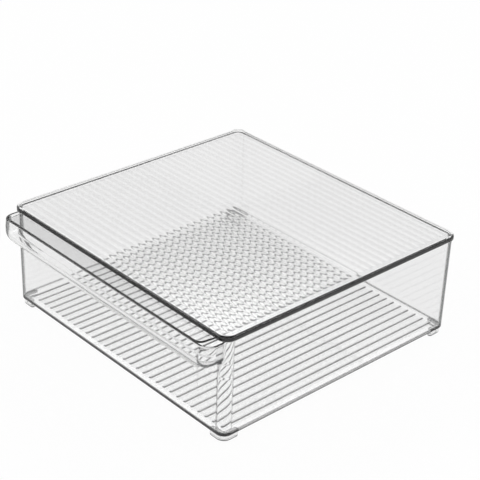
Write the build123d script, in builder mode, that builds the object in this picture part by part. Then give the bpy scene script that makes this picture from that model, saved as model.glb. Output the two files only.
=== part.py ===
"""A clear fridge storage container: a bin with a flared front pull, a lift-off lid and four feet.

Millimetres, +Z up, the front towards -Y. The origin is on the shelf, at the middle of the
container's outer box.
"""

import os
from math import atan2, cos, degrees, floor, radians, tan

from build123d import *

# Overall size
overall_width = 300.0
overall_depth = 300.0
overall_height = 105.0

# Fits between the pieces
plug_gap = 0.4
tab_gap = 0.3
tab_side_gap = 5.6
foot_gap = 0.15

# Lid: a thick border that rests on the bin's rim, round a panel that drops a little inside it
lid_corner_radius = 11.0
lid_overhang = 1.5
border_thickness = 4.8
border_edge_radius = 2.0
panel_recess = 1.4
panel_thickness = 4.6

# Front tab of the lid, one step down and flush with the panel's underside, that covers the pull
tab_end_slant = 2.5
tab_corner_radius = 7.0
tab_drop = 4.0
tab_setback = 1.2
tab_edge_bevel = 0.6

# Soft flutes from side to side on the lid's panel
flute_pitch = 8.1
flute_width = 4.6
flute_height = 0.5
flute_margin = 4.0

# Bin
wall = 2.4
floor_thickness = 2.4
wall_lean = 0.5
base_edge_radius = 1.6
inner_edge_radius = 3.0

# Flared pull along the bin's front, a pocket that opens into the bin
pull_reach = 16.0
pull_end_inset = 3.5
pull_end_slant = 2.0
pull_corner_radius = 11.0
pull_nose_drop = 8.0
pull_face_height = 18.0
pull_top_lean = 1.2
pull_rake_angle = 48.0
pull_end_run = 30.0
pull_toe_radius = 4.0
pull_bend_radius = 13.0
pull_root_radius = 3.0

# Ribs from front to back on the bin's floor
rib_pitch = 9.33
rib_width = 3.2
rib_height = 1.0
rib_end_margin = 6.5
rib_side_margin = 8.0
rib_draft_angle = 25.0

# Gate marks that moulding leaves under the lid's panel and under the floor
gate_diameter = 6.0
gate_height = 0.4

# Corner feet, an L each, seated in shallow pockets under the floor
foot_height = 5.5
foot_width = 5.8
foot_leg = 18.0
foot_inset = 1.2
foot_seat_depth = 0.8
foot_inner_radius = 2.4
foot_end_radius = 2.6
foot_edge_bevel = 0.8

# How far a cut runs past the face that it opens
overrun = 1.0

# Places from front to back
back_y = overall_depth / 2
pull_front_y = -overall_depth / 2
lid_front_y = pull_front_y + pull_reach
lid_depth = back_y - lid_front_y
lid_middle_y = (back_y + lid_front_y) / 2

# Heights, from the shelf
base_z = foot_height
floor_z = base_z + floor_thickness
rim_z = overall_height - border_thickness
panel_top_z = overall_height - panel_recess
panel_under_z = panel_top_z - panel_thickness
tab_top_z = overall_height - tab_drop
pull_top_z = panel_under_z - tab_gap
nose_z = pull_top_z - pull_nose_drop
bend_z = pull_top_z - pull_face_height

# Plans: the lid stands out past the rim, and its panel goes inside it
rim_width = overall_width - 2 * lid_overhang
rim_depth = lid_depth - 2 * lid_overhang
rim_radius = lid_corner_radius - lid_overhang
base_width = rim_width - 2 * wall_lean
base_depth = rim_depth - 2 * wall_lean
inner_radius = rim_radius - wall
panel_width = rim_width - 2 * (wall + plug_gap)
panel_depth = rim_depth - 2 * (wall + plug_gap)
panel_radius = inner_radius - plug_gap
panel_front_y = lid_middle_y - panel_depth / 2
front_wall_y = lid_middle_y - rim_depth / 2
lean_angle = degrees(atan2(wall_lean, rim_z - base_z))
pull_half_width = rim_width / 2 - pull_end_inset
tab_half_width = pull_half_width - wall - tab_side_gap


def rounded_plan(z, width, depth, radius):
    """A rounded rectangle about the middle of the lid, at height z."""
    with BuildSketch(Plane.XY.offset(z)) as plan:
        with Locations((0, lid_middle_y)):
            RectangleRounded(width, depth, radius)
    return plan.sketch


def flared_plan(z, front_y, root_y, half_span, slant, radius):
    """The pull's or the tab's outline from above: slanted ends and rounded front corners."""
    with BuildSketch(Plane.XY.offset(z)) as plan:
        with BuildLine():
            Polyline(
                (-half_span, root_y),
                (-half_span + slant, front_y),
                (half_span - slant, front_y),
                (half_span, root_y),
                close=True,
            )
        make_face()
        fillet(plan.vertices().group_by(Axis.Y)[0], radius)
    return plan.sketch


def pull_form(inset, top_z):
    """The pull's solid form, or with an inset the pocket inside it, as a loft up through four plans."""
    rake = radians(pull_rake_angle)
    toe_y = front_wall_y + wall / 2 + inset
    root_y = toe_y + 2 * wall
    run = toe_y - pull_front_y - inset
    half_span = pull_half_width - inset
    lean = pull_top_lean * (top_z - nose_z) / pull_nose_drop
    low_z = bend_z + inset * (1 / cos(rake) - tan(rake))
    toe_z = low_z - run * tan(rake)
    front_y = pull_front_y + inset
    radius = pull_corner_radius - inset
    with BuildPart() as form:
        add(flared_plan(toe_z, toe_y, root_y, half_span - pull_end_run, pull_end_slant, pull_toe_radius))
        add(flared_plan(low_z, front_y, root_y, half_span, pull_end_slant, radius))
        add(flared_plan(nose_z, front_y, root_y, half_span, pull_end_slant, radius))
        add(flared_plan(top_z, front_y + lean, root_y, half_span, pull_end_slant, radius))
        loft(ruled=True)
        bend = form.edges().filter_by_position(Axis.Z, low_z, low_z)
        fillet(bend.sort_by(Axis.Y)[:-1], pull_bend_radius - inset)
    return form.part


def foot_plan(z, side, end, gap):
    """A foot's outline, grown by a gap, under the bin's corner where side and end are -1 or 1."""
    inset = foot_inset - gap
    leg = foot_leg + 2 * gap
    band = foot_width + 2 * gap
    corner_x = side * (base_width / 2 - inset)
    corner_y = lid_middle_y + end * (base_depth / 2 - inset)
    bend = (corner_x, corner_y)
    inside = (corner_x - side * band, corner_y - end * band)
    cross_leg = [(corner_x - side * leg, corner_y), (corner_x - side * leg, inside[1])]
    long_leg = [(inside[0], corner_y - end * leg), (corner_x, corner_y - end * leg)]
    with BuildSketch(Plane.XY.offset(z)) as plan:
        with BuildLine():
            Polyline(bend, *cross_leg, inside, *long_leg, close=True)
        make_face()
        fillet(plan.vertices().sort_by_distance(bend)[0], rim_radius - inset)
        fillet(plan.vertices().sort_by_distance(inside)[0], foot_inner_radius - gap)
        for point in cross_leg + long_leg:
            fillet(plan.vertices().sort_by_distance(point)[0], foot_end_radius + gap)
    return plan.sketch


corners = {
    "front_left_foot": (-1, -1),
    "front_right_foot": (1, -1),
    "rear_left_foot": (-1, 1),
    "rear_right_foot": (1, 1),
}

os.makedirs("parts", exist_ok=True)

# Floor ribs: low bars with drafted sides and ends
rib_span = base_width - 2 * (wall + rib_side_margin) - rib_width
rib_count = floor(rib_span / rib_pitch) + 1
rib_length = base_depth - 2 * (wall + rib_end_margin)
with BuildPart() as ribs:
    with BuildSketch(Plane.XY.offset(floor_z)):
        with Locations((0, lid_middle_y)):
            with GridLocations(rib_pitch, rib_length, rib_count, 1):
                Rectangle(rib_width, rib_length)
    extrude(amount=rib_height, taper=rib_draft_angle)

# Space inside the bin, with a soft edge round the floor
with BuildPart() as space:
    add(rounded_plan(floor_z, base_width - 2 * wall, base_depth - 2 * wall, inner_radius - wall_lean))
    extrude(amount=rim_z + overrun - floor_z, taper=-lean_angle)
    fillet(space.faces().sort_by(Axis.Z)[0].edges(), inner_edge_radius)

# Bin: a leaning tray, flared at the front into the pull, hollow right into it
with BuildPart() as tray:
    add(rounded_plan(base_z, base_width, base_depth, rim_radius - wall_lean))
    extrude(amount=rim_z - base_z, taper=-lean_angle)
    fillet(tray.faces().sort_by(Axis.Z)[0].edges(), base_edge_radius)
    add(pull_form(0, pull_top_z))
    below_the_top = tray.edges(Select.NEW).group_by(Axis.Z)[:-1]
    fillet([edge for level in below_the_top for edge in level], pull_root_radius)
    add(space.part, mode=Mode.SUBTRACT)
    add(pull_form(wall, rim_z + overrun), mode=Mode.SUBTRACT)
    add(ribs.part)
    with BuildSketch(Plane.XY.offset(base_z)):
        with Locations((0, lid_middle_y)):
            Circle(gate_diameter / 2)
    extrude(amount=-gate_height)
    for side, end in corners.values():
        add(foot_plan(base_z, side, end, foot_gap))
        extrude(amount=foot_seat_depth, mode=Mode.SUBTRACT)
tray.part.label = "bin"
export_step(tray.part, "parts/bin.step")

# Lid: border on the rim, fluted panel, and the tab at the front
flute_span = panel_depth - 2 * flute_margin - flute_width
flute_count = floor(flute_span / flute_pitch) + 1
flute_length = panel_width - 2 * flute_margin
with BuildSketch() as flute:
    with BuildLine():
        ThreePointArc((-flute_width / 2, 0), (0, flute_height), (flute_width / 2, 0))
        Line((-flute_width / 2, 0), (flute_width / 2, 0))
    make_face()
with BuildPart() as lid:
    add(rounded_plan(rim_z, overall_width, lid_depth, lid_corner_radius))
    extrude(amount=border_thickness)
    add(rounded_plan(panel_top_z, panel_width, panel_depth, panel_radius))
    extrude(amount=panel_recess, mode=Mode.SUBTRACT)
    add(rounded_plan(panel_under_z, panel_width, panel_depth, panel_radius))
    extrude(amount=panel_thickness)
    fillet(lid.faces().sort_by(Axis.Z)[-1].outer_wire().edges(), border_edge_radius)
    tab_front_y = pull_front_y + tab_setback
    tab_plan = flared_plan(
        panel_under_z, tab_front_y, panel_front_y, tab_half_width, tab_end_slant, tab_corner_radius
    )
    add(tab_plan)
    extrude(amount=tab_top_z - panel_under_z)
    tab_edges = lid.edges().filter_by_position(Axis.Y, tab_front_y, lid_front_y, inclusive=(True, False))
    for tab_z in (panel_under_z, tab_top_z):
        chamfer(tab_edges.filter_by_position(Axis.Z, tab_z, tab_z), tab_edge_bevel)
    with BuildSketch(Plane.YZ):
        with Locations((lid_middle_y, panel_top_z)):
            with GridLocations(flute_pitch, flute_pitch, flute_count, 1):
                add(flute.sketch)
    extrude(amount=flute_length / 2, both=True)
    with BuildSketch(Plane.XY.offset(panel_under_z)):
        with Locations((0, lid_middle_y)):
            Circle(gate_diameter / 2)
    extrude(amount=-gate_height)
lid.part.label = "lid"
export_step(lid.part, "parts/lid.step")

# Feet
for name, (side, end) in corners.items():
    with BuildPart() as foot:
        add(foot_plan(0, side, end, 0))
        extrude(amount=base_z + foot_seat_depth)
        chamfer(foot.faces().sort_by(Axis.Z)[0].edges(), foot_edge_bevel)
    foot.part.label = name
    export_step(foot.part, f"parts/{name}.step")
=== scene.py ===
"""A clear fridge storage container on a white sweep: a bin with a flared pull, a lid and four feet.

Metres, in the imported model's frame: +Z up from the shelf, the front towards -Y.
"""

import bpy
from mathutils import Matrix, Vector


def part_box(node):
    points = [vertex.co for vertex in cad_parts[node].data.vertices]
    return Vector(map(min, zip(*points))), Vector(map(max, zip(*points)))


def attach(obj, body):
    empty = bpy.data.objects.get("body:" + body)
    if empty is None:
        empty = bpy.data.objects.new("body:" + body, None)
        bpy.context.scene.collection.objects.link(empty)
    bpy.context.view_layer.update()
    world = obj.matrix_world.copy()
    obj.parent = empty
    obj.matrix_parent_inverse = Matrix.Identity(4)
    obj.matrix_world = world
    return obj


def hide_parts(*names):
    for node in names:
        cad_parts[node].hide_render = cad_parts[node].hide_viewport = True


bl_info = {
    "name": "Clear Storage Container",
    "version": (1, 0, 0),
    "blender": (4, 5, 0),
    "location": "View3D > Sidebar > Container",
    "description": "Builds the looks of a clear bin, its lift-off lid and its feet round their packed frame",
    "category": "Object",
}

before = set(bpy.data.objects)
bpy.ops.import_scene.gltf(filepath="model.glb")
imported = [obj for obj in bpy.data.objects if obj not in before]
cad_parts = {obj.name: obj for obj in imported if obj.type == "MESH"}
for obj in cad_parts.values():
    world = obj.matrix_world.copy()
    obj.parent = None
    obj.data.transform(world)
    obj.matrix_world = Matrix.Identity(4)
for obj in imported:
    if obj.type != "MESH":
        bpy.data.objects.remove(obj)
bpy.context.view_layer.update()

import math

import bmesh
import bpy
from bpy.props import FloatProperty, FloatVectorProperty, IntProperty, PointerProperty
from mathutils import Euler, Matrix, Vector

bin_low, bin_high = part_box("bin")
lid_low, lid_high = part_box("lid")

# The feet, with the side and the end of the bin that each stands under
foot_corners = {
    "front_left_foot": (-1, -1),
    "front_right_foot": (1, -1),
    "rear_left_foot": (-1, 1),
    "rear_right_foot": (1, 1),
}
foot_low, foot_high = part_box("front_right_foot")

# Points that are nearer than this are one point
weld_distance = 1e-6

# Edges that turn more than this stay crisp
crisp_angle = math.radians(32)

# Most of the pull's reach that the radii at its root and at its corners take up
root_share, nose_share = 0.4, 0.6

# How much a face is seen along itself where its painted shade starts, and where it is whole
along_itself = (0.32, 0.5)

# Upward part of a normal at the start and the end of each painted-shade mask; for upright faces it is
# squared
level_up = (0.3, 0.7)
upright_up = (0.04, 0.09)
bend_low_up = (0.35, 0.5)
bend_high_up = (0.95, 0.85)
foot_under_up = (-0.99, -0.95)
foot_top_up = (0.9, 0.97)

# Shares of a flute's height, and of a foot's edge radii, over which the painted shade of lands and edges
# fades in
land_shares = (0.75, 0.05)
foot_low_shares = (1.5, 1.3)
foot_top_share = 0.9

# Places of a Mix node's two colours among its inputs, and of its mixed colour
mix_first, mix_second, mix_result = 6, 7, 2

# The soft lamps, and where they hang
lamp_places = {
    "left_softbox": (-1.2, -0.6, 1.5),
    "right_softbox": (1.0, 1.0, 1.7),
}


def length(name, description, default):
    """A length that a user may change."""
    return FloatProperty(name=name, description=description, default=default, precision=5, unit="LENGTH")


def angle(name, description, degrees):
    """An angle that a user may change."""
    return FloatProperty(
        name=name, description=description, default=math.radians(degrees), subtype="ANGLE", unit="ROTATION"
    )


def share(name, description, default):
    """A share between nought and one that a user may change."""
    return FloatProperty(
        name=name, description=description, default=default, min=0.0, max=1.0, precision=3, subtype="FACTOR"
    )


def colour(name, description, default):
    """A colour that a user may change."""
    return FloatVectorProperty(
        name=name, description=description, default=default, size=3, min=0.0, max=1.0, subtype="COLOR"
    )


class BinSizes(bpy.types.PropertyGroup):
    """Sizes of the bin's tray."""

    wall: length("Wall", "Thickness of the walls and of the pull", 0.0024)
    floor: length("Floor", "Thickness of the floor between the ribs", 0.0024)
    lean: length("Wall lean", "How far each wall leans out from the base to the rim", 0.0005)
    corner_radius: length("Corner radius", "Radius of the outer corners at the rim", 0.0095)
    base_edge: length("Base edge", "Radius of the edge round the base", 0.0016)
    floor_edge: length("Floor edge", "Radius between the floor and the walls", 0.0018)
    rim_edge: length("Rim edge", "Radius of both edges of the rim", 0.00118)
    gate_diameter: length("Gate diameter", "Width of the gate mark under the floor and the lid", 0.006)
    gate_height: length("Gate height", "How far the gate marks stand out", 0.0004)


class PullSizes(bpy.types.PropertyGroup):
    """Sizes of the flared pull along the bin's front."""

    reach: length("Reach", "How far the pull stands out from the lid's front", 0.016)
    end_inset: length("End inset", "From the bin's side to the end of the pull", 0.0035)
    below_rim: length("Below the rim", "How far the pull's top lies under the rim", 0.0015)
    nose_drop: length("Nose drop", "Height of the pull's leaning top band", 0.008)
    face_height: length("Face height", "From the pull's top to the corner under its face", 0.018)
    top_lean: length("Top lean", "How far the top band leans back", 0.0012)
    rake: angle("Rake", "Slope of the pull's underside", 48.0)
    end_run: length("End run", "How much shorter the pull is at its foot, at each end", 0.030)
    corner_radius: length("Corner radius", "Radius of the pull's front corners from above", 0.011)
    bend_radius: length("Bend radius", "Outer radius between the face and the underside", 0.013)
    toe_radius: length("Toe radius", "Radius between the underside and the bin's front wall", 0.005)
    root_radius: length("Root radius", "Radius between the pull's ends and the bin's corners", 0.003)


class RibSizes(bpy.types.PropertyGroup):
    """Sizes of the ribs on the bin's floor."""

    pitch: length("Pitch", "From one rib to the next", 0.00933)
    width: length("Width", "Width of a rib", 0.0032)
    height: length("Height", "Height of a rib", 0.001)
    side_margin: length("Side margin", "From the side walls to the first rib", 0.008)
    end_margin: length("End margin", "From the ribs' ends to the front and back walls", 0.0065)
    sink: length("Sink", "How far a rib runs into the floor", 0.0004)


class LidSizes(bpy.types.PropertyGroup):
    """Sizes of the lid and its front tab."""

    overhang: length("Overhang", "How far the lid stands out past the rim", 0.0015)
    corner_radius: length("Corner radius", "Radius of the lid's corners", 0.011)
    thickness: length("Border thickness", "Thickness of the border on the rim", 0.0048)
    top_edge: length("Top edge", "Radius of the border's outer top edge", 0.0025)
    small_edge: length("Small edges", "Radius of the lid's other edges", 0.0005)
    recess: length("Panel recess", "How far the panel lies under the border's top", 0.0014)
    panel: length("Panel thickness", "Thickness of the panel without its flutes", 0.0046)
    plug_gap: length("Plug gap", "Gap between the panel's edge and the bin's wall", 0.0004)
    rest_gap: length("Rest gap", "Gap at the faces that rest on each other", 0.00006)
    tab_drop: length("Tab drop", "How far the tab lies under the border's top", 0.004)
    tab_side_gap: length("Tab side gap", "From the tab's end to the inside of the pull's end", 0.0056)
    tab_slant: length("Tab slant", "How much narrower the tab is at its front, at each end", 0.0025)
    tab_corner: length("Tab corner", "Radius of the tab's corners from above", 0.007)
    tab_edge: length("Tab edge", "Radius of the edge round the tab", 0.0009)


class FluteSizes(bpy.types.PropertyGroup):
    """Sizes of the flutes on the lid's panel."""

    pitch: length("Pitch", "From one flute to the next", 0.0081)
    width: length("Width", "Width of a flute", 0.0062)
    height: length("Height", "Height of a flute", 0.00005)
    margin: length("Margin", "From the panel's edge to the flutes", 0.004)
    front_share: share("Front share", "Share of a flute's width that faces the front", 0.34)
    sink: length("Sink", "How far a flute runs into the panel", 0.0004)


class FootSizes(bpy.types.PropertyGroup):
    """Sizes of the corner feet, an L each."""

    band: length("Band", "Width of a foot's two legs", 0.0058)
    inset: length("Inset", "From the base's edge to the foot", 0.0012)
    seat: length("Seat", "How deep a foot sits in the base", 0.0008)
    gap: length("Gap", "Gap round a foot in its seat", 0.00015)
    inner_radius: length("Inner radius", "Radius inside the bend", 0.0024)
    end_radius: length("End radius", "Radius of the legs' ends", 0.0026)
    edge: length("Edge", "Radius of the edge on the shelf", 0.0012)
    top_edge: length("Top edge", "Radius of the edge round a foot's top", 0.0012)


class Finishes(bpy.types.PropertyGroup):
    """Colours and clearness of the two plastics, and the dark shade painted into their colour on edges,
    ribs, lands and feet.
    """

    plastic_tint: colour("Plastic tint", "Tint on the faces of the clear plastic", (0.99, 0.99, 0.99))
    # Painted shade: the dark colour painted on the plastic's turned edges, ribs, floor, tab and lands
    plastic_painted_shade: colour("Plastic edge", "Tint of the plastic's darkest places", (0.03, 0.032, 0.032))
    silicone_tint: colour("Silicone tint", "Tint on the faces of the clear feet", (0.97, 0.97, 0.97))
    # Painted shade: the dark colour painted on a foot's rounded edges and top
    silicone_painted_shade: colour("Silicone edge", "Tint of a foot's rounded edges", (0.01, 0.0105, 0.0105))
    bin_depth_tint: FloatProperty(
        name="Bin depth tint", description="Light lost in each metre of the bin's plastic", default=24.0
    )
    lid_depth_tint: FloatProperty(
        name="Lid depth tint", description="Light lost in each metre of the lid's plastic", default=2.0
    )
    foot_depth_tint: FloatProperty(
        name="Foot depth tint", description="Light lost in each metre of the feet's silicone", default=20.0
    )
    plastic_ior: FloatProperty(name="Plastic IOR", description="Refraction of the plastic", default=1.57)
    silicone_ior: FloatProperty(name="Silicone IOR", description="Refraction of the feet", default=1.41)
    plastic_haze: share("Plastic haze", "Roughness of the polished plastic", 0.0)
    silicone_haze: share("Silicone haze", "Roughness of the soft feet", 0.12)
    flow_scale: FloatProperty(name="Flow scale", description="Fineness of the faint flow", default=14.0)
    flow_detail: FloatProperty(name="Flow detail", description="Finer layers in that flow", default=3.0)
    flow_tint: share("Flow tint", "Brightness of the tint where the flow is strongest", 0.985)
    flow_haze: share("Flow haze", "Roughness that the flow adds", 0.008)
    # Shares of the painted shade that the ribs, the floor, the bend, the gate mark, the tab, the lands and
    # the foot tops take
    rib_shade: share("Rib shade", "How much of the edge tint the floor's ribs take", 0.2)
    ground_shade: share("Ground shade", "How much of it the floor between the ribs takes", 0.08)
    bend_shade: share("Bend shade", "How much of it the bend round the floor takes", 0.8)
    gate_shade: share("Gate shade", "How much of it the gate mark under the floor takes", 0.6)
    tab_shade: share("Tab shade", "How much of it the lid's tab takes", 0.25)
    land_shade: share("Land shade", "How much of it the lands between the flutes take", 0.16)
    foot_top_shade: share("Foot top shade", "How much of it the flat top of a foot takes", 0.75)


class StageValues(bpy.types.PropertyGroup):
    """The view, the white sweep and the light."""

    azimuth: angle("Azimuth", "Turn of the view about the upright axis", 46.951)
    elevation: angle("Elevation", "How far the view looks down", 28.72)
    roll: angle("Roll", "Turn of the view about its own axis", 2.174)
    distance: length("Distance", "From the camera to the point that it aims at", 1.30657)
    aim: FloatVectorProperty(
        name="Aim",
        description="Point in the middle of the view",
        default=(-0.00494, 0.0217, 0.07564),
        precision=5,
        subtype="TRANSLATION",
    )
    lens: FloatProperty(name="Lens", description="Focal length", default=104.487, unit="CAMERA")
    sweep_half: length("Sweep", "Half the width of the floor", 30.0)
    sweep_shade: share("Sweep shade", "Brightness of the floor's own matt white", 0.9)
    white_keep: share("White", "How much of the floor's own shade its even white hides", 0.94)
    sky_level: share("Sky level", "Brightness of the white surroundings as a light", 0.8)
    sky_low: angle("Sky low", "Elevation up to which the surroundings are white", 38.0)
    sky_high: angle("Sky high", "Elevation from which the surroundings are darkest", 62.0)
    sky_dark: share("Sky dark", "Brightness of the surroundings overhead", 0.25)
    ring_low: angle("Ring low", "Elevation of the lower edge of the ring of softboxes", 29.0)
    ring_high: angle("Ring high", "Elevation of its upper edge", 48.0)
    ring_soft: angle("Ring soft", "Width of its soft edges", 5.0)
    ring_gain: FloatProperty(name="Ring gain", description="How much brighter the ring is", default=2.0)
    lamp_power: FloatProperty(name="Lamp", description="Power of each soft lamp", default=3.0, unit="POWER")
    lamp_size: length("Lamp size", "Width of each soft lamp", 1.0)


class ContainerValues(bpy.types.PropertyGroup):
    """All that a user may change on the container."""

    bin: PointerProperty(type=BinSizes)
    pull: PointerProperty(type=PullSizes)
    rib: PointerProperty(type=RibSizes)
    lid: PointerProperty(type=LidSizes)
    flute: PointerProperty(type=FluteSizes)
    foot: PointerProperty(type=FootSizes)
    finish: PointerProperty(type=Finishes)
    stage: PointerProperty(type=StageValues)
    arc_steps: IntProperty(name="Arc steps", description="Steps in a rounded corner", default=12, min=3)
    end_steps: IntProperty(name="End steps", description="Steps in the round end of a bar", default=4, min=2)


# Places that several pieces share


def front_wall_y(values):
    """The outside of the bin's front wall at the rim, behind the pull."""
    return bin_low.y + values.pull.reach + values.lid.overhang


def tray_middle_y(values):
    """The middle of the bin from front to back, without the pull."""
    return (bin_high.y + front_wall_y(values)) / 2


def base_height(values):
    """The height of the bin's underside."""
    return foot_high.z - values.foot.seat


def border_width(values):
    """From the lid's edge to the edge of its panel."""
    return values.lid.overhang + values.bin.wall + values.lid.plug_gap


def quarter_turns(steps):
    """The angles of a quarter of a turn, in even steps."""
    return [math.pi / 2 * step / steps for step in range(steps + 1)]


# Shader nodes


class Wire:
    """A socket in an expression: its operators add Math nodes to the socket's tree."""

    def __init__(self, socket):
        self.socket = socket

    def join(self, operation, first, second):
        tree = self.socket.id_data
        made = add_node(tree, "ShaderNodeMath", {"operation": operation}, {0: first, 1: second})
        return Wire(made.outputs[0])

    def __add__(self, other):
        return self.join("ADD", self, other)

    def __sub__(self, other):
        return self.join("SUBTRACT", self, other)

    def __rsub__(self, other):
        return self.join("SUBTRACT", other, self)

    def __mul__(self, other):
        return self.join("MULTIPLY", self, other)

    def most(self, other):
        """The larger of two values."""
        return self.join("MAXIMUM", self, other)

    __radd__ = __add__
    __rmul__ = __mul__


def add_node(tree, kind, settings, sockets):
    """Adds a node: its settings first, then the values or links of its sockets by name or place."""
    made = tree.nodes.new(kind)
    for key, value in settings.items():
        setattr(made, key, value)
    for key, value in sockets.items():
        if isinstance(value, Wire):
            tree.links.new(value.socket, made.inputs[key])
        else:
            made.inputs[key].default_value = value
    return made


def new_material(name):
    """A material with an empty node tree, and that tree."""
    material = bpy.data.materials.new(name)
    material.use_nodes = True
    material.node_tree.nodes.clear()
    return material, material.node_tree


def past(value, start, end):
    """A mask that goes from nought at the start to one at the end."""
    made = add_node(
        value.socket.id_data,
        "ShaderNodeMapRange",
        {"interpolation_type": "SMOOTHSTEP"},
        {"Value": value, "From Min": start, "From Max": end},
    )
    return Wire(made.outputs[0])


def axes_of(tree, kind, output):
    """The three parts of a place or a normal on the surface."""
    source = add_node(tree, kind, {}, {})
    split = add_node(tree, "ShaderNodeSeparateXYZ", {}, {0: Wire(source.outputs[output])})
    return [Wire(socket) for socket in split.outputs]


def turned_away(tree, up):
    """Where a surface that isn't level is seen along itself: a mask for shade painted on glass edges."""
    facing = add_node(tree, "ShaderNodeLayerWeight", {}, {"Blend": 0.5})
    return past(Wire(facing.outputs["Facing"]), *along_itself) * (1 - past(up, *level_up))


def bin_painted_shade(values, tree):
    """The bin's painted shade: darkening painted on turned corners, pull ends and base edge, foot seats,
    floor and gate mark.
    """
    x, y, z = axes_of(tree, "ShaderNodeTexCoord", "Object")
    up = axes_of(tree, "ShaderNodeNewGeometry", "Normal")[2]
    sizes, pull, rib, look = values.bin, values.pull, values.rib, values.finish
    soft = sizes.rim_edge
    low_z = base_height(values)
    floor_z = low_z + sizes.floor
    front_y = front_wall_y(values)
    # Painted shade on the corners, the pull's ends and the edge round the base
    corner_x = bin_high.x - sizes.corner_radius
    end_x = bin_high.x - pull.end_inset - pull.corner_radius
    back_y = bin_high.y - sizes.corner_radius
    corner_y = front_y + sizes.corner_radius
    edge_z = low_z + sizes.base_edge
    side = past(x * x, (corner_x - soft) ** 2, corner_x ** 2)
    back = past(y, back_y - soft, back_y)
    front = past(y, corner_y + soft, corner_y)
    pull_end = past(y, front_y, front_y - soft) * past(x * x, (end_x - soft) ** 2, end_x ** 2)
    turn = (side * back.most(front)).most(past(z, edge_z + soft, edge_z)).most(pull_end)
    turn = turn * turned_away(tree, up)
    # Painted shade on the upright walls of the feet's seats, and on the gate mark
    seat = past(z, foot_high.z + soft / 8, foot_high.z) * (1 - past(up * up, *upright_up))
    gate = past(z, low_z, low_z - sizes.gate_height / 2)
    # Painted shade on the floor, its ribs and the bend round it
    inside = (1 - side) * (1 - back) * (1 - front)
    ground = past(z, floor_z + 2 * rib.height, floor_z + 1.5 * rib.height)
    ribs = past(z, floor_z, floor_z + rib.height / 2) * ground
    flat = inside * (ribs * look.rib_shade).most(ground * look.ground_shade)
    bend = (1 - inside) * past(z, floor_z + 1.2 * sizes.floor_edge, floor_z + sizes.floor_edge)
    bend = bend * past(up, *bend_low_up) * past(up, *bend_high_up)
    return turn.most(seat).most(flat).most(bend * look.bend_shade).most(gate * look.gate_shade)


def foot_painted_shade(values, tree):
    """A foot's painted shade: a dark outline painted on the outer rounded edge of its underside, its top and
    the rounded edge round that.
    """
    x, y, z = axes_of(tree, "ShaderNodeTexCoord", "Object")
    up = axes_of(tree, "ShaderNodeNewGeometry", "Normal")[2]
    edge, top_edge = values.foot.edge, values.foot.top_edge
    off = y - tray_middle_y(values)
    wide = foot_high.x - edge
    deep = tray_middle_y(values) - foot_low.y - edge
    side = past(x * x, (wide - 2 * edge) ** 2, (wide - edge) ** 2)
    end = past(off * off, (deep - 2 * edge) ** 2, (deep - edge) ** 2)
    low = past(z, *(edge * part for part in foot_low_shares)) * past(up, *foot_under_up) * side.most(end)
    clear = past(up, *foot_top_up) * (1 - values.finish.foot_top_shade)
    high = past(z, foot_high.z - top_edge, foot_high.z - top_edge * foot_top_share) * (1 - clear)
    return low.most(high)


def lid_painted_shade(values, tree):
    """The lid's painted shade: darkening painted on its front tab, and on the lands between the flutes."""
    x, y, z = axes_of(tree, "ShaderNodeTexCoord", "Object")
    sizes, flute, look = values.lid, values.flute, values.finish
    panel_z = lid_high.z - sizes.recess
    tab_y = bin_low.y + values.pull.reach
    half = lid_high.x - border_width(values)
    tab = past(y, tab_y, tab_y - sizes.tab_edge)
    land = past(z, *(panel_z + flute.height * part for part in land_shares))
    land = land * past(z, panel_z - sizes.small_edge, panel_z)
    land = land * past(x * x, half ** 2, (half - flute.margin) ** 2)
    return (tab * look.tab_shade).most(land * look.land_shade)


def clear_plastic(look, name, tint, painted_shade_colour, depth_tint, ior, haze, edges):
    """Clear moulded plastic: a faint flow in its tint and gloss, painted shade on its edges, and clear to
    lamps.
    """
    material, tree = new_material(name)
    place = add_node(tree, "ShaderNodeTexCoord", {}, {})
    flow = add_node(
        tree,
        "ShaderNodeTexNoise",
        {},
        {"Vector": Wire(place.outputs["Object"]), "Scale": look.flow_scale, "Detail": look.flow_detail},
    )
    drift = Wire(flow.outputs[0])
    drift_tint = [part * look.flow_tint for part in tint]
    shade = add_node(
        tree,
        "ShaderNodeMix",
        {"data_type": "RGBA"},
        {"Factor": drift, mix_first: (*tint, 1.0), mix_second: (*drift_tint, 1.0)},
    )
    # Painted shade: the base colour goes towards the dark shade colour where the mask from edges is strong
    painted_shading = add_node(
        tree,
        "ShaderNodeMix",
        {"data_type": "RGBA"},
        {"Factor": edges(tree), mix_first: Wire(shade.outputs[mix_result]), mix_second: (*painted_shade_colour, 1.0)},
    )
    plastic = add_node(
        tree,
        "ShaderNodeBsdfPrincipled",
        {},
        {
            "Base Color": Wire(painted_shading.outputs[mix_result]),
            "Roughness": drift * look.flow_haze + haze,
            "IOR": ior,
            "Transmission Weight": 1.0,
        },
    )
    film = add_node(tree, "ShaderNodeBsdfTransparent", {}, {"Color": (*tint, 1.0)})
    path = add_node(tree, "ShaderNodeLightPath", {}, {})
    shown = add_node(
        tree,
        "ShaderNodeMixShader",
        {},
        {0: Wire(path.outputs["Is Shadow Ray"]), 1: Wire(plastic.outputs[0]), 2: Wire(film.outputs[0])},
    )
    depth = add_node(
        tree,
        "ShaderNodeVolumeAbsorption",
        {},
        {"Color": (0.5, 0.5, 0.5, 1.0), "Density": 2 * depth_tint},
    )
    add_node(
        tree,
        "ShaderNodeOutputMaterial",
        {},
        {"Surface": Wire(shown.outputs[0]), "Volume": Wire(depth.outputs[0])},
    )
    return material


# Outlines, forms and booleans


def arc(centre, radius, start, end, steps):
    """Points of an arc about a centre, from one angle to another."""
    turns = [start + (end - start) * step / steps for step in range(steps + 1)]
    return [(centre[0] + radius * math.cos(turn), centre[1] + radius * math.sin(turn)) for turn in turns]


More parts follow.
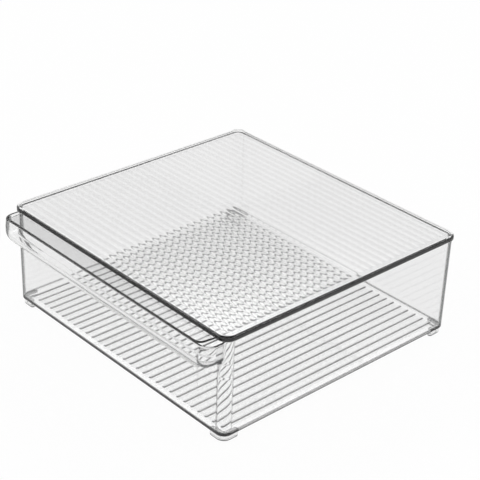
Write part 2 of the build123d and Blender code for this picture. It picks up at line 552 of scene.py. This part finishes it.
def rounded_line(points, radii, steps, closed):
    """A line through flat points, with an arc of the given radius at each corner."""
    count = len(points)
    line = []
    for index, (corner, radius) in enumerate(zip(points, radii)):
        if not closed and index in (0, count - 1):
            line.append(tuple(corner))
            continue
        corner = Vector(corner)
        into = (corner - Vector(points[index - 1])).normalized()
        out = (Vector(points[(index + 1) % count]) - corner).normalized()
        turn = into.angle_signed(out)
        start = corner - into * radius * math.tan(abs(turn) / 2)
        side = Vector((-into.y, into.x)) if turn < 0 else Vector((into.y, -into.x))
        centre = start + side * radius
        spoke = start - centre
        for step in range(steps + 1):
            swung = Matrix.Rotation(-turn * step / steps, 2) @ spoke
            line.append((centre.x + swung.x, centre.y + swung.y))
    return line


def at_height(outline, z):
    """A flat outline as a ring at a height."""
    return [(x, y, z) for x, y in outline]


def rounded_box(half_width, front_y, back_y, radius, steps):
    """A rounded rectangle, the same on its left and its right."""
    points = [(half_width, back_y), (half_width, front_y), (-half_width, front_y), (-half_width, back_y)]
    return rounded_line(points, [radius] * 4, steps, True)


def form(name, rings):
    """A closed form through rings of as many points each, with a face over its first and last ring."""
    work = bmesh.new()
    rows = [[work.verts.new(point) for point in ring] for ring in rings]
    for lower, upper in zip(rows, rows[1:]):
        for here in range(len(lower)):
            ahead = (here + 1) % len(lower)
            work.faces.new((lower[here], lower[ahead], upper[ahead], upper[here]))
    work.faces.new(rows[0])
    work.faces.new(rows[-1])
    bmesh.ops.remove_doubles(work, verts=work.verts, dist=weld_distance)
    bmesh.ops.dissolve_degenerate(work, edges=work.edges, dist=weld_distance)
    bmesh.ops.recalc_face_normals(work, faces=work.faces)
    mesh = bpy.data.meshes.new(name)
    work.to_mesh(mesh)
    work.free()
    made = bpy.data.objects.new(name, mesh)
    bpy.context.scene.collection.objects.link(made)
    return made


def take_mesh(made):
    """Turns what an object's modifiers make into its plain mesh."""
    shaped = bpy.data.meshes.new_from_object(made.evaluated_get(bpy.context.evaluated_depsgraph_get()))
    made.modifiers.clear()
    made.data = shaped


def combine(body, other, operation):
    """Joins another form to a body, or cuts it away, and removes that form."""
    faces_before = len(body.data.polygons)
    change = body.modifiers.new("change", "BOOLEAN")
    change.operation = operation
    change.solver = "MANIFOLD"
    change.object = other
    take_mesh(body)
    bpy.data.objects.remove(other)
    if len(body.data.polygons) <= faces_before:
        raise RuntimeError(f"{body.name}: the {operation.lower()} changed nothing")


def repeat_tree():
    """A node tree that sets copies of a bar in a row."""
    tree = bpy.data.node_groups.new("row_of_bars", "GeometryNodeTree")
    sockets = (
        ("Bar", "INPUT", "NodeSocketGeometry"),
        ("Count", "INPUT", "NodeSocketInt"),
        ("Start", "INPUT", "NodeSocketVector"),
        ("Step", "INPUT", "NodeSocketVector"),
        ("Material", "INPUT", "NodeSocketMaterial"),
        ("Bars", "OUTPUT", "NodeSocketGeometry"),
    )
    for name, direction, kind in sockets:
        tree.interface.new_socket(name, in_out=direction, socket_type=kind)
    given = {socket.name: Wire(socket) for socket in add_node(tree, "NodeGroupInput", {}, {}).outputs}
    row = add_node(
        tree,
        "GeometryNodeMeshLine",
        {"mode": "OFFSET"},
        {"Count": given["Count"], "Start Location": given["Start"], "Offset": given["Step"]},
    )
    copies = add_node(
        tree,
        "GeometryNodeInstanceOnPoints",
        {},
        {"Points": Wire(row.outputs[0]), "Instance": given["Bar"]},
    )
    real = add_node(tree, "GeometryNodeRealizeInstances", {}, {0: Wire(copies.outputs[0])})
    clad = add_node(
        tree,
        "GeometryNodeSetMaterial",
        {},
        {"Geometry": Wire(real.outputs[0]), "Material": given["Material"]},
    )
    add_node(tree, "NodeGroupOutput", {}, {0: Wire(clad.outputs[0])})
    return tree


def bar_row(name, bar, count, start, step, material):
    """Sets copies of a bar in a row by geometry nodes and returns them as one plain object."""
    tree = bpy.data.node_groups.get("row_of_bars") or repeat_tree()
    given = {"Count": count, "Start": start, "Step": step, "Material": material}
    row = bar.modifiers.new(name, "NODES")
    row.node_group = tree
    for socket in tree.interface.items_tree:
        if socket.name in given:
            row[socket.identifier] = given[socket.name]
    take_mesh(bar)
    bar.name = name
    return bar


def round_back(steps):
    """The back of a rib from right to left, half an ellipse: shares of its half width and of its height."""
    return arc((0.0, 0.0), 1.0, 0.0, math.pi, steps)


def soft_back(steps, front_share):
    """The back of a flute in the same terms: a soft wave, with its crest nearer to the front."""
    places = [step / steps for step in range(steps + 1)]
    rise = 1 - front_share
    heights = [min(place / rise, (1 - place) / front_share) for place in places]
    return [(1 - 2 * place, (1 - math.cos(math.pi * up)) / 2) for place, up in zip(places, heights)]


def low_bar(name, width, height, span, sink, along, back, end_steps):
    """A low bar with the given back and round ends, sunk a little under its base, along +X or +Y."""
    rings = []
    half_span = span / 2
    run = width / 2
    turns = [math.pi / 2 * (step + 0.5) / (end_steps + 0.5) for step in range(end_steps + 1)]
    stations = [(run - run * math.cos(turn) - half_span, math.sin(turn)) for turn in turns]
    stations += [(-place, size) for place, size in reversed(stations)]
    for place, size in stations:
        section = [(across * width / 2 * size, up * height * size) for across, up in back]
        section = [(width / 2 * size, -sink)] + section + [(-width / 2 * size, -sink)]
        if along == "X":
            rings.append([(place, across, up) for across, up in section])
        else:
            rings.append([(across, place, up) for across, up in section])
    return form(name, rings)


def finish_piece(piece, material, body, node):
    """Gives a finished form its material and smooth shading, and ties it to the frame."""
    mesh = piece.data
    mesh.materials.clear()
    mesh.materials.append(material)
    for polygon in mesh.polygons:
        polygon.material_index = 0
        polygon.use_smooth = True
    mesh.set_sharp_from_angle(angle=crisp_angle)
    even = piece.modifiers.new("even_normals", "WEIGHTED_NORMAL")
    even.keep_sharp = True
    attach(piece, body)
    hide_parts(node)


# Bin


class BinForm:
    """The bin's outline at any height, outside or inside."""

    def __init__(self, values):
        self.sizes = values.bin
        self.pull = values.pull
        self.steps = values.arc_steps
        self.rim_z = bin_high.z
        self.base_z = base_height(values)
        self.floor_z = self.base_z + self.sizes.floor
        self.front_y = front_wall_y(values)
        self.pull_top_z = self.rim_z - self.pull.below_rim
        self.nose_z = self.pull_top_z - self.pull.nose_drop
        self.bend_z = self.pull_top_z - self.pull.face_height
        self.half_span = bin_high.x - self.pull.end_inset

    def lean_at(self, z):
        """How far the walls stand in at a height, against the rim."""
        return self.sizes.lean * (self.rim_z - z) / (self.rim_z - self.base_z)

    def section(self, inset):
        """The pull's profile from its toe up to its top, as points (y, z), moved in by an inset."""
        rake = self.pull.rake
        wall_y = self.front_y + self.lean_at(self.bend_z) + inset
        face_y = bin_low.y + inset
        bend_z = self.bend_z + inset * (1 / math.cos(rake) - math.tan(rake))
        toe_z = bend_z - (wall_y - face_y) * math.tan(rake)
        top_y = face_y + self.pull.top_lean
        top_z = self.pull_top_z - self.sizes.rim_edge
        points = [
            (wall_y, toe_z - self.pull.face_height),
            (wall_y, toe_z),
            (face_y, bend_z),
            (face_y, self.nose_z),
            (top_y, top_z),
        ]
        radii = [0.0, self.pull.toe_radius + inset, self.pull.bend_radius - inset, self.pull.nose_drop, 0.0]
        return rounded_line(points, radii, self.steps, False)[1:]

    def ring(self, z, pull_y, spread, inset):
        """A ring at a height: the tray's outline, drawn out at the front into the pull as far as pull_y."""
        shrink = self.lean_at(z) + inset
        half_width = bin_high.x - shrink
        back_y = bin_high.y - shrink
        front_y = self.front_y + shrink
        radius = self.sizes.corner_radius - shrink
        reach = max(front_y - pull_y, 0.0)
        end_x = self.half_span - self.pull.end_run * (1 - spread) - inset
        root = min(self.pull.root_radius + inset, reach * root_share)
        nose = min(self.pull.corner_radius - inset, reach * nose_share)
        corner_x = half_width - radius
        corner_y = front_y + radius
        out_x = end_x + root
        if out_x <= corner_x:
            out_y = front_y - root
            corner_turn = -math.pi / 2
        else:
            out_y = corner_y - math.sqrt((radius + root) ** 2 - (out_x - corner_x) ** 2)
            corner_turn = math.atan2(out_y - corner_y, out_x - corner_x)
        steps = self.steps
        right = arc((corner_x, back_y - radius), radius, math.pi / 2, 0.0, steps)
        right += arc((corner_x, corner_y), radius, 0.0, corner_turn, steps)
        right += arc((out_x, out_y), root, corner_turn + math.pi, math.pi, steps)
        right += arc((end_x - nose, front_y - reach + nose), nose, 0.0, -math.pi / 2, steps)
        return right

    def heights(self, z, drop):
        """The height of each point of a ring's right half: the pull's part lies lower by a drop."""
        eased = [step / self.steps for step in range(self.steps + 1)]
        pulled = [part * part * (3 - 2 * part) for part in eased]
        tray = [z] * (2 * (self.steps + 1))
        return tray + [z - drop * part for part in pulled] + [z - drop] * (self.steps + 1)

    def whole(self, right, heights):
        """A whole ring from its right half."""
        half = [(x, y, z) for (x, y), z in zip(right, heights)]
        return half + [(-x, y, z) for x, y, z in reversed(half)]

    def wall_rings(self, inset):
        """Rings up one side of the wall, from under the pull's toe to the rim's edge."""
        rings = []
        spread = 0.0
        run = self.front_y + self.lean_at(self.bend_z) - bin_low.y
        for pull_y, z in self.section(inset):
            reach = self.front_y + self.lean_at(self.bend_z) + inset - pull_y
            spread = max(spread, min(reach / run, 1.0))
            climb = max(z - self.nose_z, 0.0) / (self.pull_top_z - self.sizes.rim_edge - self.nose_z)
            drop = climb * self.pull.below_rim
            right = self.ring(z + drop, pull_y, spread, inset)
            rings.append(self.whole(right, self.heights(z + drop, drop)))
        return rings

    def rim_ring(self, inset, fall):
        """A ring on the rim's rounded edge, a fall under its top."""
        z = self.rim_z - fall
        right = self.ring(z, bin_low.y + self.pull.top_lean + inset, 1.0, inset)
        return self.whole(right, self.heights(z, self.pull.below_rim))

    def edge_ring(self, z, inset):
        """A ring below the pull."""
        right = self.ring(z, math.inf, 0.0, inset)
        return self.whole(right, self.heights(z, 0.0))

    def rings(self):
        """All rings, from the middle of the base up the outside, over the rim and down to the floor."""
        quarter = quarter_turns(self.steps)
        base, edge, bend = self.sizes.base_edge, self.sizes.rim_edge, self.sizes.floor_edge
        wall = self.sizes.wall
        rings = [
            self.edge_ring(self.base_z + base * (1 - math.cos(turn)), base * (1 - math.sin(turn)))
            for turn in quarter
        ]
        rings += self.wall_rings(0.0)
        rings += [
            self.rim_ring(edge * (1 - math.cos(turn)), edge * (1 - math.sin(turn))) for turn in quarter[1:]
        ]
        rings += [
            self.rim_ring(wall - edge * (1 - math.cos(turn)), edge * (1 - math.sin(turn)))
            for turn in reversed(quarter[1:])
        ]
        rings += reversed(self.wall_rings(wall))
        rings += [
            self.edge_ring(self.floor_z + bend * (1 - math.sin(turn)), wall + bend * (1 - math.cos(turn)))
            for turn in quarter
        ]
        return rings


def foot_outline(values, side, end, grow):
    """A foot's L-shaped outline under a corner of the base, grown by a gap."""
    sizes = values.foot
    leg = foot_high.x - foot_low.x + 2 * grow
    band = sizes.band + 2 * grow
    corner_x = foot_high.x + grow
    middle_y = tray_middle_y(values)
    corner_y = foot_low.y - middle_y - grow
    outer = values.bin.corner_radius - sizes.inset + grow
    points = [
        (corner_x, corner_y),
        (corner_x - leg, corner_y),
        (corner_x - leg, corner_y + band),
        (corner_x - band, corner_y + band),
        (corner_x - band, corner_y + leg),
        (corner_x, corner_y + leg),
    ]
    ends = sizes.end_radius + grow
    radii = [outer, ends, ends, sizes.inner_radius - grow, ends, ends]
    line = rounded_line(points, radii, values.arc_steps // 2, True)
    return [(side * x, middle_y - end * y) for x, y in line]


def gate_mark(name, sizes, z, steps, middle_y):
    """A low round gate mark that stands down from a height."""
    radius, half = sizes.gate_diameter / 2, sizes.gate_height / 2
    top = arc((0.0, middle_y), radius, 0.0, 2 * math.pi, 4 * steps)[:-1]
    low = arc((0.0, middle_y), radius - half, 0.0, 2 * math.pi, 4 * steps)[:-1]
    return form(name, [at_height(top, z + half), at_height(top, z - half), at_height(low, z - 2 * half)])


class CONTAINER_OT_bin(bpy.types.Operator):
    """Builds the clear bin: its walls, pull, ribbed floor and the feet's seats"""

    bl_idname = "container.bin"
    bl_label = "Build Bin"

    def execute(self, context):
        values = context.scene.container
        rib = values.rib
        shape = BinForm(values)
        look = values.finish
        material = clear_plastic(
            look,
            "clear_bin",
            look.plastic_tint,
            look.plastic_painted_shade,
            look.bin_depth_tint,
            look.plastic_ior,
            look.plastic_haze,
            lambda tree: bin_painted_shade(values, tree),
        )
        body = form("bin_body", shape.rings())
        middle_y = tray_middle_y(values)
        base_half = bin_high.x - values.bin.lean - values.bin.wall
        base_span = bin_high.y - shape.front_y - 2 * (values.bin.lean + values.bin.wall)
        count = int((2 * (base_half - rib.side_margin) - rib.width) / rib.pitch) + 1
        bar = low_bar(
            "rib",
            rib.width,
            rib.height,
            base_span - 2 * rib.end_margin,
            rib.sink,
            "Y",
            round_back(values.arc_steps),
            values.end_steps,
        )
        start = ((1 - count) * rib.pitch / 2, middle_y, shape.floor_z)
        ribs = bar_row("ribs", bar, count, start, (rib.pitch, 0.0, 0.0), material)
        combine(body, ribs, "UNION")
        combine(body, gate_mark("gate", values.bin, shape.base_z, values.arc_steps, middle_y), "UNION")
        for name, (side, end) in foot_corners.items():
            outline = foot_outline(values, side, end, values.foot.gap)
            low_z = shape.base_z - values.foot.seat
            seat = form(name + "_seat", [at_height(outline, low_z), at_height(outline, foot_high.z)])
            combine(body, seat, "DIFFERENCE")
        finish_piece(body, material, "bin", "bin")
        return {"FINISHED"}


# Lid


def lid_rings(values):
    """Rings of the lid's plate: panel underside, border, its rounded top edge and the panel's top."""
    sizes = values.lid
    steps = values.arc_steps
    front_y = bin_low.y + values.pull.reach
    border = border_width(values)
    top_z = lid_high.z
    rest_z = top_z - sizes.thickness + sizes.rest_gap
    panel_z = top_z - sizes.recess
    under_z = panel_z - sizes.panel
    edge, small = sizes.top_edge, sizes.small_edge
    parts = [(1 - math.sin(turn), 1 - math.cos(turn)) for turn in quarter_turns(steps)]
    places = [(border + small * into, under_z + small * up) for into, up in parts]
    places += [(border, rest_z)]
    places += [(small * into, rest_z + small * up) for into, up in parts]
    places += [(edge * into, top_z - edge * down) for down, into in parts]
    places += [(border - small * out, top_z - small * down) for out, down in parts]
    places += [(border, panel_z)]
    rings = []
    for inset, z in places:
        radius = max(sizes.corner_radius - inset, small)
        outline = rounded_box(lid_high.x - inset, front_y + inset, lid_high.y - inset, radius, steps)
        rings.append(at_height(outline, z))
    return rings


def tab_rings(values):
    """Rings of the lid's front tab, with a rounded edge, run back into the plate."""
    sizes = values.lid
    steps = values.arc_steps
    root_y = bin_low.y + values.pull.reach + border_width(values) + sizes.small_edge
    top_z = lid_high.z - sizes.tab_drop
    under_z = lid_high.z - sizes.recess - sizes.panel - sizes.rest_gap
    half = bin_high.x - values.pull.end_inset - values.bin.wall - sizes.tab_side_gap
    edge = sizes.tab_edge
    parts = [(1 - math.sin(turn), 1 - math.cos(turn)) for turn in quarter_turns(steps)]
    places = [(edge * into, under_z + edge * up) for into, up in parts]
    places += [(edge * into, top_z - edge * down) for down, into in parts]
    rings = []
    for inset, z in places:
        front_y = lid_low.y + inset
        points = [
            (half - inset, root_y),
            (half - sizes.tab_slant - inset, front_y),
            (-half + sizes.tab_slant + inset, front_y),
            (-half + inset, root_y),
        ]
        corner = sizes.tab_corner - inset
        rings.append(at_height(rounded_line(points, [0.0, corner, corner, 0.0], steps, False), z))
    return rings


class CONTAINER_OT_lid(bpy.types.Operator):
    """Builds the clear lid: its thick border, fluted panel and front tab"""

    bl_idname = "container.lid"
    bl_label = "Build Lid"

    def execute(self, context):
        values = context.scene.container
        sizes, flute = values.lid, values.flute
        look = values.finish
        material = clear_plastic(
            look,
            "clear_lid",
            look.plastic_tint,
            look.plastic_painted_shade,
            look.lid_depth_tint,
            look.plastic_ior,
            look.plastic_haze,
            lambda tree: lid_painted_shade(values, tree),
        )
        body = form("lid_body", lid_rings(values))
        combine(body, form("tab", tab_rings(values)), "UNION")
        border = border_width(values)
        front_y = bin_low.y + values.pull.reach
        middle_y = (front_y + lid_high.y) / 2
        panel_z = lid_high.z - sizes.recess
        panel_depth = lid_high.y - front_y - 2 * border
        span = 2 * (lid_high.x - border - flute.margin)
        count = int((panel_depth - 2 * flute.margin - flute.width) / flute.pitch) + 1
        bar = low_bar(
            "flute",
            flute.width,
            flute.height,
            span,
            flute.sink,
            "X",
            soft_back(2 * values.arc_steps, flute.front_share),
            values.end_steps,
        )
        start = (0.0, middle_y + (1 - count) * flute.pitch / 2, panel_z)
        flutes = bar_row("flutes", bar, count, start, (0.0, flute.pitch, 0.0), material)
        combine(body, flutes, "UNION")
        under_z = panel_z - sizes.panel
        combine(body, gate_mark("gate", values.bin, under_z, values.arc_steps, middle_y), "UNION")
        finish_piece(body, material, "lid", "lid")
        return {"FINISHED"}


# Feet


class CONTAINER_OT_feet(bpy.types.Operator):
    """Builds the four soft corner feet in their seats"""

    bl_idname = "container.feet"
    bl_label = "Build Feet"

    def execute(self, context):
        values = context.scene.container
        edge = values.foot.edge
        look = values.finish
        material = clear_plastic(
            look,
            "clear_foot",
            look.silicone_tint,
            look.silicone_painted_shade,
            look.foot_depth_tint,
            look.silicone_ior,
            look.silicone_haze,
            lambda tree: foot_painted_shade(values, tree),
        )
        turns = quarter_turns(values.arc_steps)
        places = [(edge * (1 - math.sin(turn)), edge * (1 - math.cos(turn))) for turn in turns]
        top_z = foot_high.z - values.lid.rest_gap
        grow = values.foot.top_edge / edge
        places += [(inset * grow, top_z - up * grow) for inset, up in reversed(places)]
        for name, (side, end) in foot_corners.items():
            rings = [at_height(foot_outline(values, side, end, -inset), z) for inset, z in places]
            finish_piece(form(name + "_pad", rings), material, "bin", name)
        return {"FINISHED"}


# Stage


def sweep_material(stage):
    """White floor: an even white that glass shows too, over a matt white that keeps the shadow."""
    material, tree = new_material("white_sweep")
    path = add_node(tree, "ShaderNodeLightPath", {}, {})
    straight = Wire(path.outputs["Is Camera Ray"])
    through = Wire(path.outputs["Is Glossy Ray"]).most(Wire(path.outputs["Is Transmission Ray"]))
    matt = add_node(tree, "ShaderNodeBsdfDiffuse", {}, {"Color": (*[stage.sweep_shade] * 3, 1.0)})
    even = add_node(tree, "ShaderNodeEmission", {}, {"Strength": 1.0})
    shown = add_node(
        tree,
        "ShaderNodeMixShader",
        {},
        {0: (straight + through) * stage.white_keep, 1: Wire(matt.outputs[0]), 2: Wire(even.outputs[0])},
    )
    add_node(tree, "ShaderNodeOutputMaterial", {}, {"Surface": Wire(shown.outputs[0])})
    return material


def studio_world(stage):
    """Surroundings that darken overhead, with a bright ring of softboxes, and plain white to the camera."""
    world = bpy.data.worlds.new("studio")
    world.use_nodes = True
    tree = world.node_tree
    tree.nodes.clear()
    height = axes_of(tree, "ShaderNodeTexCoord", "Generated")[2]
    dim = past(height, math.sin(stage.sky_low), math.sin(stage.sky_high)) * (1 - stage.sky_dark)
    ring = past(height, math.sin(stage.ring_low), math.sin(stage.ring_low + stage.ring_soft))
    ring = ring * past(height, math.sin(stage.ring_high), math.sin(stage.ring_high - stage.ring_soft))
    glow = (1 - dim + ring * stage.ring_gain) * stage.sky_level
    path = add_node(tree, "ShaderNodeLightPath", {}, {})
    straight = Wire(path.outputs["Is Camera Ray"])
    sky = add_node(
        tree,
        "ShaderNodeBackground",
        {},
        {"Color": (1.0, 1.0, 1.0, 1.0), "Strength": straight + (1 - straight) * glow},
    )
    add_node(tree, "ShaderNodeOutputWorld", {}, {"Surface": Wire(sky.outputs[0])})
    return world


class CONTAINER_OT_stage(bpy.types.Operator):
    """Sets the white sweep, the soft light and the camera"""

    bl_idname = "container.stage"
    bl_label = "Set Stage"

    def execute(self, context):
        stage = context.scene.container.stage
        half = stage.sweep_half
        corners = [(-half, -half, 0), (half, -half, 0), (half, half, 0), (-half, half, 0)]
        sweep_mesh = bpy.data.meshes.new("sweep")
        sweep_mesh.from_pydata(corners, [], [range(len(corners))])
        sweep_mesh.materials.append(sweep_material(stage))
        sweep = bpy.data.objects.new("sweep", sweep_mesh)
        context.scene.collection.objects.link(sweep)
        context.scene.world = studio_world(stage)
        for name, place in lamp_places.items():
            lamp = bpy.data.lights.new(name, "AREA")
            lamp.energy = stage.lamp_power
            lamp.size = stage.lamp_size
            holder = bpy.data.objects.new(name, lamp)
            aimed = Vector(place).to_track_quat("Z", "Y").to_matrix().to_4x4()
            holder.matrix_world = Matrix.Translation(place) @ aimed
            context.scene.collection.objects.link(holder)
        lens = bpy.data.cameras.new("camera")
        lens.lens = stage.lens
        lens.clip_end = 4 * half
        turn = Euler((math.pi / 2 - stage.elevation, 0, stage.azimuth)).to_matrix()
        turn = turn @ Matrix.Rotation(stage.roll, 3, "Z")
        camera = bpy.data.objects.new("camera", lens)
        stand = stage.aim + turn @ Vector((0, 0, stage.distance))
        camera.matrix_world = Matrix.Translation(stand) @ turn.to_4x4()
        context.scene.collection.objects.link(camera)
        context.scene.camera = camera
        context.scene.view_settings.view_transform = "Standard"
        return {"FINISHED"}


class VIEW3D_PT_container(bpy.types.Panel):
    """Builds the container and shows what can be changed on it"""

    bl_label = "Clear Storage Container"
    bl_space_type = "VIEW_3D"
    bl_region_type = "UI"
    bl_category = "Container"

    def draw(self, context):
        values = context.scene.container
        for builder in builders:
            self.layout.operator(builder.bl_idname)
        for name in ("arc_steps", "end_steps"):
            self.layout.prop(values, name)
        for group in ("bin", "pull", "rib", "lid", "flute", "foot", "finish", "stage"):
            box = self.layout.box()
            box.label(text=group.capitalize())
            sizes = getattr(values, group)
            for name in sizes.bl_rna.properties.keys():
                if name not in {"rna_type", "name"}:
                    box.prop(sizes, name)


groups = (
    BinSizes,
    PullSizes,
    RibSizes,
    LidSizes,
    FluteSizes,
    FootSizes,
    Finishes,
    StageValues,
    ContainerValues,
)
builders = (CONTAINER_OT_bin, CONTAINER_OT_lid, CONTAINER_OT_feet, CONTAINER_OT_stage)


def register():
    for kind in (*groups, *builders, VIEW3D_PT_container):
        bpy.utils.register_class(kind)
    bpy.types.Scene.container = PointerProperty(type=ContainerValues)


def unregister():
    del bpy.types.Scene.container
    for kind in reversed((*groups, *builders, VIEW3D_PT_container)):
        bpy.utils.unregister_class(kind)


def main():
    """Builds the pieces and the stage."""
    register()
    bpy.ops.container.bin()
    bpy.ops.container.lid()
    bpy.ops.container.feet()
    bpy.ops.container.stage()
    bpy.context.view_layer.update()


if __name__ == "__main__":
    main()
